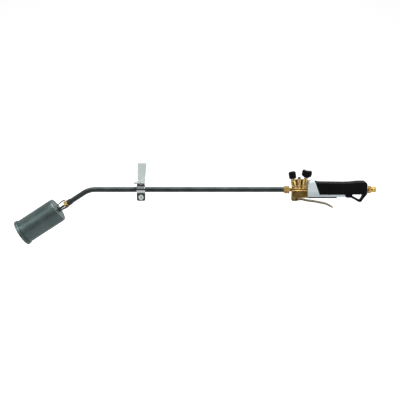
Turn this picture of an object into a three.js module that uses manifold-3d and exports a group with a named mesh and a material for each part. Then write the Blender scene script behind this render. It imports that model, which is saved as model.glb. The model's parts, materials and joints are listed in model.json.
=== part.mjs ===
// Propane roofing torch, in millimetres. +X runs along the neck towards the hose, +Z is up,
// and the origin is the centre of the hand grip, on the axis of the neck.
import * as THREE from "three";
import { mergeVertices } from "three/addons/utils/BufferGeometryUtils.js";
import Module from "manifold-3d";

const wasm = await Module();
wasm.setup();

const rad = THREE.MathUtils.degToRad;

// Driving dimensions.
const GAP = 0.3; // clearance between pieces that touch

const TUBE_RADIUS = 6;
const TUBE_BORE = 4.5;
const BEND_X = -589.4; // where the two straight runs of the neck would meet
const BEND_ANGLE = rad(33);
const BEND_RADIUS = 50;
const TUBE_REAR_X = -141.3;

// Burner line, as distances along the bent end of the neck, from the bend's corner.
const TUBE_FRONT = 64;
const FERRULE = [50.8, 59.7];
const BURNER_NUT = [60, 67.5];
const JET_PIPE = [67.8, 90];
const GAS_JET = [90.3, 100.4];
const BELL_BACK = 86;
const BELL_FRONT = 182.6;
const RIM_FRONT = 192;
const HOLDER = [105, 107];
const BELL_RADIUS = 29;
const BELL_WALL = 1.6;
const BELL_SHOULDER = 6;
const BELL_HOLE = 7.4;
const RIM_RADIUS = 31.7;
const MIXER_RADIUS = 9.5;
const NUT_FLATS = 16.5;

const NIPPLE_FRONT_X = -141;
const UNION_NUT_X = [-133, -119.6];
const UNION_FLATS = 17;

// Valve block.
const BLOCK_X = [-114.7, -77.6];
const BLOCK_TOP = -1;
const BLOCK_BOTTOM = -18.2;
const BLOCK_HALF_WIDTH = 11.5;
const TIER_TOP = 3;
const BOSS_TOP = 4.3;
const BACK_WALL_TOP = 23; // the wall that ties the three bosses together behind the bonnets
const BACK_WALL_Y = [8.4, 11.2];
const PIN_X = -96.8;
const PILOT = { x: -107.6, tilt: rad(-10), radius: 6.3, height: 17.8, knobRadius: 8.5, knobHeight: 16.5 };
const MAIN = { x: -85.4, tilt: rad(10.5), radius: 6.9, height: 20.3, knobRadius: 11.75, knobHeight: 14.6 };
const STEM_RADIUS = 2;
const GLAND_HEIGHT = 2.6;
const KNOB_CLEARANCE = 1.2; // between a closed knob and the gland nut under it

const SPRING_HOUSING = { radius: 4.1, bore: 3.2, top: 26.7 };
const SPRING = { radius: 2.25, wire: 0.4, from: 9.7, to: 26.2, turns: 8 };

// Lever.
const PIVOT = { x: -102.7, z: -21.2 };
const PIVOT_RADIUS = 1.8;
const LEVER_HALF_WIDTH = 4.9;
const LEVER_BLADE_HALF_WIDTH = 7.5;
const FORK_BOTTOM = -26.3;

// Handle.
const HANDLE_HALF_WIDTH = 16;
const GRIP_REAR_X = 61.1;
const STRIP_BOTTOM = -16.2;
const PIPE_RADIUS = 4.6;
const PIPE_BORE = 3.4;
const WALL = 2.6;
const POCKET_FLOOR = -8.6; // above the height where the housing draws in
const GRIP_SCREWS = [
  [-38, 10.4],
  [4, 10.4],
  [44, 11.4],
];
const HOUSING_SCREW = [-67.5, 12.5];
const INLET_RING_X = [61.4, 64.6];
const CONNECTOR = { collar: [64.9, 71.4], end: 83.2, flats: 17, radius: 6.6 };

// Stand.
const STAND_X = -467.4;
const CLAMP_WIDTH = 20;
const CLAMP_SHEET = 1.8;
const CLAMP_BOTTOM = -26.8;
const CLAMP_TOP = 15.4;
const CLAMP_FLANGE = 9;
const BOLT_Z = -18.3;
const BOLT_RADIUS = 2.5;
const FOOT_TOP = 62;
const FOOT_DEPTH = 28;
const LEG_FRONT = 7.2;
const RIVETS = { near: -5.5, far: 4.4 };

// ---- Solids ----

// A closed body for cutting and joining, with its faces turned outwards.
function solid(geometry) {
  const bare = geometry.index ? geometry.toNonIndexed() : geometry.clone();
  bare.deleteAttribute("normal");
  bare.deleteAttribute("uv");
  const merged = mergeVertices(bare, 1e-4);
  const points = merged.attributes.position;
  const corners = [0, 1, 2].map(() => new THREE.Vector3());
  const kept = [];
  let volume = 0;
  for (let start = 0; start < merged.index.count; start += 3) {
    const face = [...merged.index.array.subarray(start, start + 3)];
    if (new Set(face).size < 3) continue;
    kept.push(...face);
    corners.forEach((corner, place) => corner.fromBufferAttribute(points, face[place]));
    volume += corners[0].dot(corners[1].cross(corners[2]));
  }
  if (volume < 0) kept.reverse();
  const triVerts = new Uint32Array(kept);
  return new wasm.Manifold(new wasm.Mesh({ numProp: 3, vertProperties: points.array, triVerts }));
}

function geometryOf(shape) {
  const mesh = shape.getMesh();
  const geometry = new THREE.BufferGeometry();
  geometry.setAttribute("position", new THREE.BufferAttribute(mesh.vertProperties, 3));
  geometry.setIndex(new THREE.BufferAttribute(mesh.triVerts, 1));
  geometry.computeVertexNormals();
  return geometry;
}

function join(first, ...others) {
  return geometryOf(others.reduce((whole, next) => whole.add(solid(next)), solid(first)));
}

function cut(first, ...others) {
  return geometryOf(others.reduce((whole, next) => whole.subtract(solid(next)), solid(first)));
}

function common(first, ...others) {
  return geometryOf(others.reduce((whole, next) => whole.intersect(solid(next)), solid(first)));
}

// ---- Shapes ----

function block([x0, x1], [y0, y1], [z0, z1]) {
  const geometry = new THREE.BoxGeometry(x1 - x0, y1 - y0, z1 - z0);
  return geometry.translate((x0 + x1) / 2, (y0 + y1) / 2, (z0 + z1) / 2);
}

// A round bar along Z.
function rod(radius, [from, to], sides = 24) {
  const geometry = new THREE.CylinderGeometry(radius, radius, to - from, sides);
  return geometry.rotateX(Math.PI / 2).translate(0, 0, (from + to) / 2);
}

// A hexagonal bar along Z, with two flats facing X.
function hexBar(flats, span) {
  return rod(flats / Math.sqrt(3), span, 6);
}

// A turned piece about Z, from a profile of [radius, height] points.
function turned(profile, sides = 32) {
  const points = profile.map(([radius, height]) => new THREE.Vector2(radius, height));
  return new THREE.LatheGeometry(points, sides).rotateX(Math.PI / 2);
}

// A round tube along Z.
function sleeve(outer, inner, [from, to], sides = 32) {
  const profile = [
    [inner, from],
    [outer, from],
    [outer, to],
    [inner, to],
    [inner, from],
  ];
  return turned(profile, sides);
}

function ringSeal(radius, wire, height) {
  return new THREE.TorusGeometry(radius, wire, 8, 20).translate(0, 0, height);
}

const alongX = (geometry) => geometry.rotateY(Math.PI / 2);
const alongY = (geometry) => geometry.rotateX(-Math.PI / 2);

// An outline through [x, y, rounding] corners.
function outline(corners) {
  const shape = new THREE.Shape();
  const towards = (from, [x, y], distance) => {
    const step = new THREE.Vector2(x, y).sub(from).setLength(distance);
    return step.add(from);
  };
  corners.forEach(([x, y, rounding = 0], index) => {
    const corner = new THREE.Vector2(x, y);
    const enter = towards(corner, corners.at(index - 1), rounding);
    const leave = towards(corner, corners[(index + 1) % corners.length], rounding);
    if (index === 0) shape.moveTo(enter.x, enter.y);
    else shape.lineTo(enter.x, enter.y);
    if (rounding > 0) shape.quadraticCurveTo(x, y, leave.x, leave.y);
  });
  return shape;
}

// A plate whose outline lies in X and Z, between two places along Y.
function sidePlate(shape, [near, far], curveSegments = 4) {
  const settings = { depth: far - near, bevelEnabled: false, curveSegments };
  const geometry = new THREE.ExtrudeGeometry(shape, settings);
  return geometry.rotateX(Math.PI / 2).translate(0, far, 0);
}

// A bar whose section lies in Y and Z, between two places along X.
function crossBar(shape, [from, to], curveSegments = 4) {
  const settings = { depth: to - from, bevelEnabled: false, curveSegments };
  const geometry = new THREE.ExtrudeGeometry(shape, settings);
  const turn = new THREE.Matrix4().makeBasis(
    new THREE.Vector3(0, 1, 0),
    new THREE.Vector3(0, 0, 1),
    new THREE.Vector3(1, 0, 0),
  );
  return geometry.applyMatrix4(turn).translate(from, 0, 0);
}

// A path that runs straight from each listed point to the next.
class PointPath extends THREE.Curve {
  constructor(points) {
    super();
    this.points = points;
  }

  getPoint(t, target = new THREE.Vector3()) {
    const place = t * (this.points.length - 1);
    const index = Math.min(Math.floor(place), this.points.length - 2);
    return target.lerpVectors(this.points[index], this.points[index + 1], place - index);
  }

  getUtoTmapping(u) {
    return u;
  }
}

function roundSection(radius, bore = 0, sides = 20) {
  const circle = (size) => {
    const path = new THREE.Path().absarc(0, 0, size, 0, 2 * Math.PI);
    return path.getPoints(sides / 2).slice(0, -1);
  };
  const shape = new THREE.Shape(circle(radius));
  if (bore > 0) shape.holes.push(new THREE.Path(circle(bore)));
  return shape;
}

function sweep(section, points) {
  const settings = { steps: points.length - 1, extrudePath: new PointPath(points), curveSegments: 4 };
  return geometryOf(solid(new THREE.ExtrudeGeometry(section, settings)));
}

// ---- Materials ----

const LOOKS = {
  burnerSteel: [0x4d5c5b, 0.42, 0.7],
  darkSteel: [0x2b3133, 0.45, 0.7],
  brightSteel: [0xb9bdbc, 0.3, 0.95],
  zinc: [0xbfd0cb, 0.4, 0.8],
  brass: [0xb8892c, 0.3, 0.95],
  brightBrass: [0xd9a93a, 0.28, 0.95],
  bronze: [0x7a6b45, 0.35, 0.9],
  copper: [0xd06a2a, 0.35, 0.6],
  blackPlastic: [0x141617, 0.5, 0],
  palePlastic: [0xd6e4ea, 0.4, 0],
  rubber: [0x151515, 0.8, 0],
};

function part(name, geometry, look) {
  const [color, roughness, metalness] = LOOKS[look];
  const material = new THREE.MeshStandardMaterial({ color, roughness, metalness });
  const mesh = new THREE.Mesh(geometryOf(solid(geometry)), material);
  mesh.name = name;
  return mesh;
}

// ---- Burner end, along its own Z from the bend's corner ----

function burnerBell() {
  const inner = BELL_RADIUS - BELL_WALL;
  const profile = [[BELL_HOLE, BELL_BACK]];
  for (let step = 0; step <= 4; step += 1) {
    const angle = (step / 4) * (Math.PI / 2);
    const radius = BELL_RADIUS - BELL_SHOULDER * (1 - Math.sin(angle));
    profile.push([radius, BELL_BACK + BELL_SHOULDER * (1 - Math.cos(angle))]);
  }
  profile.push([BELL_RADIUS, BELL_FRONT], [inner, BELL_FRONT], [inner, BELL_BACK + BELL_SHOULDER]);
  profile.push([inner - BELL_SHOULDER + BELL_WALL, BELL_BACK + BELL_WALL]);
  profile.push([BELL_HOLE, BELL_BACK + BELL_WALL], [BELL_HOLE, BELL_BACK]);
  return part("burner_bell", turned(profile, 40), "burnerSteel");
}

function burnerRim() {
  const inner = BELL_RADIUS - BELL_WALL;
  const back = BELL_FRONT + GAP;
  const round = 1.4;
  const profile = [
    [inner, back],
    [RIM_RADIUS - round, back],
    [RIM_RADIUS, back + round],
    [RIM_RADIUS, RIM_FRONT - round],
    [RIM_RADIUS - 0.5, RIM_FRONT],
    [inner, RIM_FRONT],
    [inner, back],
  ];
  return part("burner_rim", turned(profile, 40), "burnerSteel");
}

function flameHolder() {
  const radius = BELL_RADIUS - BELL_WALL - GAP;
  const holes = [rod(3, [HOLDER[0] - 1, HOLDER[1] + 1], 12)];
  for (let index = 0; index < 8; index += 1) {
    const angle = (index / 8) * 2 * Math.PI;
    const hole = rod(3.6, [HOLDER[0] - 1, HOLDER[1] + 1], 12);
    holes.push(hole.translate(17 * Math.cos(angle), 17 * Math.sin(angle), 0));
  }
  return part("flame_holder", cut(rod(radius, HOLDER, 40), ...holes), "darkSteel");
}

function cageLeg(name, turn) {
  const bends = [
    [9.9, 62],
    [11.2, 67],
    [11.2, 71],
    [8.9, 85.2],
  ];
  const points = bends.map(([radius, along]) => new THREE.Vector3(radius, 0, along));
  return part(name, sweep(roundSection(1.3, 0, 10), points).rotateZ(turn), "darkSteel");
}

function burnerNut() {
  const socket = TUBE_RADIUS + GAP;
  const bar = hexBar(NUT_FLATS, BURNER_NUT);
  const pocket = rod(socket, [BURNER_NUT[0] - 1, TUBE_FRONT + GAP]);
  const bore = rod(1.8, [TUBE_FRONT, BURNER_NUT[1] + 1], 12);
  return part("burner_nut", cut(bar, pocket, bore), "brass");
}

function gasJet() {
  const [back, front] = GAS_JET;
  const profile = [
    [0.8, back],
    [3.2, back],
    [3.2, front - 4],
    [2.2, front],
    [0.8, front],
    [0.8, back],
  ];
  return part("gas_jet", turned(profile, 16), "brightBrass");
}

function burnerEnd() {
  const group = new THREE.Group();
  group.position.set(BEND_X, 0, 0);
  group.rotation.y = -(Math.PI / 2 + BEND_ANGLE);
  const mixerSpan = [BELL_BACK + BELL_WALL + GAP, HOLDER[0] - GAP];
  group.add(
    burnerBell(),
    burnerRim(),
    flameHolder(),
    part("mixing_tube", sleeve(MIXER_RADIUS, MIXER_RADIUS - 1.5, mixerSpan), "darkSteel"),
    gasJet(),
    part("jet_pipe", sleeve(2.5, 1.5, JET_PIPE, 16), "darkSteel"),
    cageLeg("cage_leg_top", 0),
    cageLeg("cage_leg_near", rad(-120)),
    cageLeg("cage_leg_far", rad(120)),
    burnerNut(),
    part("front_ferrule", sleeve(7.3, TUBE_RADIUS + GAP, FERRULE), "darkSteel"),
  );
  return group;
}

// ---- Neck ----

function neckTube() {
  const points = [new THREE.Vector3(TUBE_REAR_X, 0, 0)];
  const arcStart = BEND_X + BEND_RADIUS * Math.tan(BEND_ANGLE / 2);
  for (let step = 0; step <= 8; step += 1) {
    const angle = (step / 8) * BEND_ANGLE;
    const drop = BEND_RADIUS * (1 - Math.cos(angle));
    points.push(new THREE.Vector3(arcStart - BEND_RADIUS * Math.sin(angle), 0, -drop));
  }
  const reach = new THREE.Vector3(-Math.cos(BEND_ANGLE), 0, -Math.sin(BEND_ANGLE)).multiplyScalar(TUBE_FRONT);
  points.push(reach.add(new THREE.Vector3(BEND_X, 0, 0)));
  return part("neck_tube", sweep(roundSection(TUBE_RADIUS, TUBE_BORE), points), "darkSteel");
}

// The bare steel end of the neck, with the collar that the union nut pulls on.
function neckNipple() {
  const collar = UNION_NUT_X[0] + 7;
  const profile = [
    [3, NIPPLE_FRONT_X],
    [TUBE_RADIUS, NIPPLE_FRONT_X],
    [TUBE_RADIUS, collar],
    [7.1, collar],
    [7.1, collar + 3.5],
    [3, collar + 3.5],
    [3, NIPPLE_FRONT_X],
  ];
  return part("neck_nipple", alongX(turned(profile, 28)), "darkSteel");
}

function unionNut() {
  const [front, rear] = UNION_NUT_X;
  const waist = rod(TUBE_RADIUS + GAP, [front - 1, rear + 1]);
  const thread = rod(7.1 + GAP, [front + 7 - GAP, rear + 1]);
  return part("union_nut", alongX(cut(hexBar(UNION_FLATS, UNION_NUT_X), waist, thread)), "brass");
}

// ---- Valve block ----

// Moves a piece made about its own Z on to a valve's tilted axis, with its foot on the boss.
function ontoValve(valve, geometry) {
  return geometry.rotateY(valve.tilt).translate(valve.x, 0, BOSS_TOP);
}

function valveBody() {
  const width = [-BLOCK_HALF_WIDTH, BLOCK_HALF_WIDTH];
  const [front, rear] = BLOCK_X;
  const main = outline([
    [front, BLOCK_TOP, 1.5],
    [front, BLOCK_BOTTOM],
    [rear, BLOCK_BOTTOM, 1.5],
    [rear, BLOCK_TOP, 1.5],
  ]);
  const fork = outline([
    [front, BLOCK_BOTTOM + 4],
    [front, FORK_BOTTOM, 3],
    [PIVOT.x + 3.2, FORK_BOTTOM, 4],
    [PIVOT.x + 5, BLOCK_BOTTOM + 1],
    [PIVOT.x + 5, BLOCK_BOTTOM + 4],
  ]);
  const backWall = outline([
    [front + 2, BLOCK_TOP - 1],
    [front + 3.5, BACK_WALL_TOP, 4],
    [rear - 1, BACK_WALL_TOP, 4],
    [rear - 1, BLOCK_TOP - 1],
  ]);
  const slot = LEVER_HALF_WIDTH + 0.4;
  const spigot = alongX(rod(4.5, [UNION_NUT_X[1] - GAP, front + 2]));
  const threadedEnd = alongX(rod(7.1, [UNION_NUT_X[0] + 11, UNION_NUT_X[1] - GAP]));
  const whole = join(
    sidePlate(main, width),
    sidePlate(fork, [-9.5, 9.5]),
    sidePlate(backWall, BACK_WALL_Y),
    block([front + 1, rear - 1], [-7, 7], [BLOCK_TOP - 1, TIER_TOP]),
    alongX(rod(PIPE_RADIUS + 0.6, [rear - 6, rear])),
    spigot,
    threadedEnd,
    rod(5.4, [BLOCK_TOP - 1, BOSS_TOP]).translate(PIN_X, 0, 0),
    ontoValve(PILOT, rod(6.4, [-7, 0])),
    ontoValve(MAIN, rod(6.4, [-7, 0])),
  );
  const stemBore = STEM_RADIUS + GAP;
  return part(
    "valve_body",
    cut(
      whole,
      block([front - 1, PIVOT.x + 6], [-slot, slot], [FORK_BOTTOM - 1, BLOCK_BOTTOM]),
      alongX(rod(2.5, [UNION_NUT_X[0], rear + 1], 16)),
      alongY(rod(PIVOT_RADIUS + GAP, [-12, 12], 20)).translate(PIVOT.x, 0, PIVOT.z),
      rod(1.5, [BLOCK_BOTTOM - 1, BOSS_TOP + 1], 16).translate(PIN_X, 0, 0),
      rod(3, [-14.6, -13], 20).translate(PIN_X, 0, 0),
      ontoValve(PILOT, rod(stemBore, [-13, 1], 16)),
      ontoValve(MAIN, rod(stemBore, [-13, 1], 16)),
      ontoValve(PILOT, rod(7.6, [0, 12])),
      ontoValve(MAIN, rod(8.3, [0, 12])),
    ),
    "brass",
  );
}

function valveStack(prefix, valve, knobPieces) {
  const group = new THREE.Group();
  group.position.set(valve.x, 0, BOSS_TOP);
  group.rotation.y = valve.tilt;
  const { radius, height } = valve;
  const bore = STEM_RADIUS + GAP;
  const counterbore = rod(4.1, [height - 2.2, height + 1]);
  const bonnet = join(
    hexBar(2 * radius, [GAP, 5.5]),
    rod(radius - 1.1, [5, 7.4]),
    rod(radius - 0.2, [7, height - 1.4]),
    rod(radius - 1, [height - 1.8, height]),
  );
  const glandSpan = [height + GAP, height + GAP + GLAND_HEIGHT];
  const gland = cut(hexBar(9, glandSpan), rod(bore, [height, height + GLAND_HEIGHT + 1], 16));
  const stemTop = glandSpan[1] + 7.5;
  const stem = turned(
    [
      [0, -9.5],
      [STEM_RADIUS, -7],
      [STEM_RADIUS, stemTop],
      [0, stemTop],
    ],
    16,
  );
  group.add(
    part(prefix + "_bonnet", cut(bonnet, rod(bore, [-1, height + 1], 16), counterbore), "brass"),
    part(prefix + "_gland_nut", gland, "brightBrass"),
    part(prefix + "_seal", ringSeal(3.15, 0.75, height - 1.2), "rubber"),
    part(prefix + "_stem", stem, "brightSteel"),
    ...knobPieces(glandSpan[1], stemTop),
  );
  return group;
}

// A round knob body with shallow finger flutes.
function flutedBar(radius, flutes, depth, span) {
  const shape = new THREE.Shape();
  const perFlute = 6;
  for (let index = 0; index < flutes * perFlute; index += 1) {
    const angle = (index / (flutes * perFlute)) * 2 * Math.PI;
    const reach = radius - depth * (0.5 - 0.5 * Math.cos(flutes * angle));
    const point = [reach * Math.cos(angle), reach * Math.sin(angle)];
    if (index === 0) shape.moveTo(...point);
    else shape.lineTo(...point);
  }
  const geometry = new THREE.ExtrudeGeometry(shape, { depth: span[1] - span[0], bevelEnabled: false });
  return geometry.translate(0, 0, span[0]);
}

function pilotKnob(foot, stemTop) {
  const bottom = foot + KNOB_CLEARANCE;
  const top = bottom + PILOT.knobHeight;
  const body = common(
    flutedBar(PILOT.knobRadius, 8, 0.9, [bottom, top]),
    turned(
      [
        [0, bottom],
        [PILOT.knobRadius - 1.2, bottom],
        [PILOT.knobRadius + 0.1, bottom + 1.6],
        [PILOT.knobRadius + 0.1, top - 2],
        [PILOT.knobRadius - 1.6, top],
        [0, top],
      ],
      40,
    ),
  );
  const socket = rod(STEM_RADIUS + GAP, [bottom - 1, stemTop + GAP], 16);
  const recess = rod(4.6, [top - 1, top + 1]);
  return [
    part("pilot_knob", cut(body, socket, recess), "blackPlastic"),
    part("pilot_knob_cap", rod(4.2, [top - 0.7, top + 0.2]), "blackPlastic"),
  ];
}

function mainKnob(foot, stemTop) {
  const bottom = foot + KNOB_CLEARANCE;
  const rimFoot = bottom + 3;
  const top = rimFoot + MAIN.knobHeight;
  const cone = turned(
    [
      [0, bottom],
      [5.6, bottom],
      [8.6, rimFoot + 0.5],
      [0, rimFoot + 0.5],
    ],
    24,
  );
  const crown = common(
    flutedBar(MAIN.knobRadius, 12, 0.9, [rimFoot, top]),
    turned(
      [
        [0, rimFoot],
        [MAIN.knobRadius - 1.6, rimFoot],
        [MAIN.knobRadius + 0.1, rimFoot + 2],
        [MAIN.knobRadius + 0.1, top - 2.4],
        [MAIN.knobRadius - 2.2, top],
        [0, top],
      ],
      48,
    ),
  );
  const socket = rod(STEM_RADIUS + GAP, [bottom - 1, stemTop + GAP], 16);
  const recess = rod(7.4, [top - 1.2, top + 1]);
  return [
    part("main_knob", cut(join(crown, cone), socket, recess), "blackPlastic"),
    part("main_knob_cap", rod(7, [top - 0.9, top + 0.4]), "brightSteel"),
  ];
}

function leverValve() {
  const group = new THREE.Group();
  group.position.set(PIN_X, 0, 0);
  const { radius, bore, top } = SPRING_HOUSING;
  const collarTop = SPRING.from - SPRING.wire - 0.3;
  const housing = rod(radius, [BOSS_TOP + GAP, top]);
  const pin = join(rod(1.2, [-19.9, collarTop], 16), rod(2.9, [collarTop - 1, collarTop], 20));
  const steps = SPRING.turns * 10;
  const points = [];
  for (let step = 0; step <= steps; step += 1) {
    const angle = (step / steps) * SPRING.turns * 2 * Math.PI;
    const height = THREE.MathUtils.lerp(SPRING.from, SPRING.to, step / steps);
    points.push(new THREE.Vector3(SPRING.radius * Math.cos(angle), SPRING.radius * Math.sin(angle), height));
  }
  group.add(
    part("spring_housing", cut(housing, rod(bore, [BOSS_TOP, top + 1])), "brass"),
    part("spring_cap", rod(3.6, [top + GAP, top + GAP + 2.4]), "blackPlastic"),
    part("valve_pin", pin, "brightSteel"),
    part("valve_pin_seal", ringSeal(2.15, 0.55, -13.8), "rubber"),
    part("valve_spring", sweep(roundSection(SPRING.wire, 0, 6), points), "brightSteel"),
  );
  return group;
}

// ---- Lever ----

// The lever's top edge from the fork to the tip; its underside lies one sheet lower.
const LEVER_TOP = [
  [-98, -20.4],
  [-87.2, -21.3],
  [-76.8, -23.6],
  [-60.4, -25.7],
  [-45.4, -28.6],
  [-34.1, -31],
  [-26.6, -34.2],
  [-19, -38.7],
  [-14.6, -41],
];
const LEVER_THICKNESS = 4.4;

function lever() {
  const under = [...LEVER_TOP].reverse().map(([x, z]) => [x - 1, z - LEVER_THICKNESS]);
  const blade = outline([...LEVER_TOP, ...under]);
  const boss = alongY(rod(4.2, [-LEVER_HALF_WIDTH, LEVER_HALF_WIDTH])).translate(PIVOT.x, 0, PIVOT.z - 0.4);
  const link = outline([
    [PIVOT.x, PIVOT.z + 1.4],
    [-96, -20.3],
    [-88, -21.3],
    [-88, -25.4],
    [PIVOT.x, PIVOT.z - 4.2],
  ]);
  const tongue = [-LEVER_HALF_WIDTH, LEVER_HALF_WIDTH];
  const bladeWidth = [-LEVER_BLADE_HALF_WIDTH, LEVER_BLADE_HALF_WIDTH];
  const keepBlade = block([-94, 0], [-9, 9], [-60, 0]);
  const hole = alongY(rod(PIVOT_RADIUS + GAP, [-12, 12], 20)).translate(PIVOT.x, 0, PIVOT.z);
  const ceiling = block([-110, -90], [-9, 9], [-18.6, -10]);
  const wide = common(sidePlate(blade, bladeWidth), keepBlade);
  const hollow = block([-84, -34], [-LEVER_BLADE_HALF_WIDTH + 1.6, LEVER_BLADE_HALF_WIDTH - 1.6], [-60, 0]);
  const lowered = sidePlate(blade, bladeWidth).translate(0, 0, -1.8);
  const channel = common(hollow, lowered);
  return part("lever", cut(join(cut(wide, channel), boss, sidePlate(link, tongue)), hole, ceiling), "bronze");
}

function leverPin() {
  const shank = rod(PIVOT_RADIUS, [-10.2, 11.2], 20);
  const head = rod(2.8, [-11.3, -9.8], 20);
  return part("lever_pivot_pin", alongY(join(shank, head)).translate(PIVOT.x, 0, PIVOT.z), "darkSteel");
}

function pinClip() {
  const ring = alongY(sleeve(2.8, PIVOT_RADIUS + 0.15, [9.8, 10.6], 20));
  return part("pin_clip", ring.translate(PIVOT.x, 0, PIVOT.z), "darkSteel");
}

// ---- Handle ----

const GRIP_OUTLINE = [
  [-60, 19.5],
  [-49, 17.6],
  [-20, 16.9],
  [8, 16.7],
  [24, 17.4],
  [40, 19.2],
  [GRIP_REAR_X, 19.6, 7],
  [GRIP_REAR_X, -9, 3],
  [48.5, -28.9, 2.7],
  [43, -28.9, 2.7],
  [25, -18.3, 3],
  [12.5, -18.3, 2.5],
  [9.6, -9.9],
  [-49.4, -9.9],
];
const LOOP_OUTLINE = [
  [26.5, -10.2, 1.2],
  [54.8, -9.8, 2],
  [46.2, -24.6, 2],
  [27, -14.6, 1.5],
];
const HOUSING_OUTLINE = [
  [-77.2, STRIP_BOTTOM, 1],
  [-77.2, 5, 6],
  [-75.2, 17, 2.4],
  [-72.8, 22, 2],
  [-64, 22, 2],
  [-60.9, 19.6],
  [-50, -10.2],
  [9.2, -10.2],
  [10.8, STRIP_BOTTOM, 3],
];

// The rounded cross-section that the handle's pieces share, narrower at the hanging loop.
function handleSection() {
  const wide = HANDLE_HALF_WIDTH;
  return outline([
    [-wide, 23, 7],
    [wide, 23, 7],
    [wide, -8, 6],
    [9, -19, 4],
    [7.5, -31, 2],
    [-7.5, -31, 2],
    [-9, -19, 4],
    [-wide, -8, 6],
  ]);
}

function handleHalf(whole, side) {
  const span = side === "near" ? [-30, -0.15] : [0.15, 30];
  return common(whole, block([-100, 80], span, [-40, 30]));
}

// A screw boss on both halves, clear of the supply pipe.
function screwBoss([x, z], reach) {
  return alongY(rod(3.5, [-reach, reach], 16)).translate(x, 0, z);
}

// The hole through a boss, with room for the head on the far side.
function screwHole([x, z]) {
  const hole = join(rod(1.5 + GAP, [-9, 20], 12), rod(3.3, [12, 20], 16));
  return alongY(hole).translate(x, 0, z);
}

function screw(name, [x, z]) {
  const body = cut(join(rod(1.5, [-8, 13], 12), rod(3, [12.3, 14.5], 20)), hexBar(2.6, [13.2, 15]));
  return part(name, alongY(body).translate(x, 0, z), "darkSteel");
}

function pipeChannel() {
  return alongX(rod(PIPE_RADIUS + GAP, [-90, 70]));
}

function gripWhole() {
  const body = common(sidePlate(outline(GRIP_OUTLINE), [-20, 20]), crossBar(handleSection(), [-70, 70]));
  const pocket = outline([
    [-50.5, 14.2],
    [8, 14.2],
    [GRIP_REAR_X - WALL, 15.2],
    [GRIP_REAR_X - WALL, -6.5],
    [-43, -6.5],
  ]);
  const depth = HANDLE_HALF_WIDTH - WALL;
  const bosses = GRIP_SCREWS.map((place) => screwBoss(place, depth + 0.5));
  const hollow = cut(body, sidePlate(outline(LOOP_OUTLINE), [-20, 20]), sidePlate(pocket, [-depth, depth]));
  return cut(join(hollow, ...bosses), pipeChannel(), ...GRIP_SCREWS.map(screwHole));
}

function housingWhole() {
  const body = common(sidePlate(outline(HOUSING_OUTLINE), [-20, 20]), crossBar(handleSection(), [-90, 20]));
  const pocket = outline([
    [-77.2 + WALL, POCKET_FLOOR],
    [-77.2 + WALL, 4],
    [-72.2, 16],
    [-65, 19],
    [-62.5, 17],
    [-54, POCKET_FLOOR],
  ]);
  const depth = HANDLE_HALF_WIDTH - WALL;
  const hollow = cut(body, sidePlate(pocket, [-depth, depth]));
  return cut(join(hollow, screwBoss(HOUSING_SCREW, depth + 0.5)), pipeChannel(), screwHole(HOUSING_SCREW));
}

function handle() {
  const group = new THREE.Group();
  const grip = gripWhole();
  const housing = housingWhole();
  const strip = outline([
    [-77, STRIP_BOTTOM - GAP],
    [-77, -19.4, 0.8],
    [-9.4, -19.4, 0.8],
    [-8.4, STRIP_BOTTOM - GAP],
  ]);
  for (const side of ["near", "far"]) {
    group.add(part("grip_" + side, handleHalf(grip, side), "blackPlastic"));
    group.add(part("housing_" + side, handleHalf(housing, side), "palePlastic"));
  }
  GRIP_SCREWS.forEach((place, index) => group.add(screw("grip_screw_" + (index + 1), place)));
  group.add(
    screw("housing_screw", HOUSING_SCREW),
    part("lever_stop_strip", sidePlate(strip, [-8.6, 8.6]), "blackPlastic"),
    part("supply_pipe", alongX(sleeve(PIPE_RADIUS, PIPE_BORE, [BLOCK_X[1] + GAP, 61])), "brass"),
    part("inlet_ring", alongX(sleeve(8.2, PIPE_RADIUS + GAP, INLET_RING_X)), "copper"),
    hoseConnector(),
  );
  return group;
}

function hoseConnector() {
  const { collar, end, flats, radius } = CONNECTOR;
  const inner = [INLET_RING_X[0] - 0.1, collar[0] + 1];
  const nose = turned(
    [
      [0, collar[1] - 1],
      [radius, collar[1] - 1],
      [radius, end - 0.8],
      [radius - 0.6, end],
      [0, end],
    ],
    32,
  );
  const body = join(hexBar(flats, collar), nose, rod(PIPE_RADIUS, inner, 32));
  return part("hose_connector", alongX(cut(body, rod(PIPE_BORE, [60, end + 1]))), "brightBrass");
}

// ---- Stand, about the tube at its own place along X ----

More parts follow.
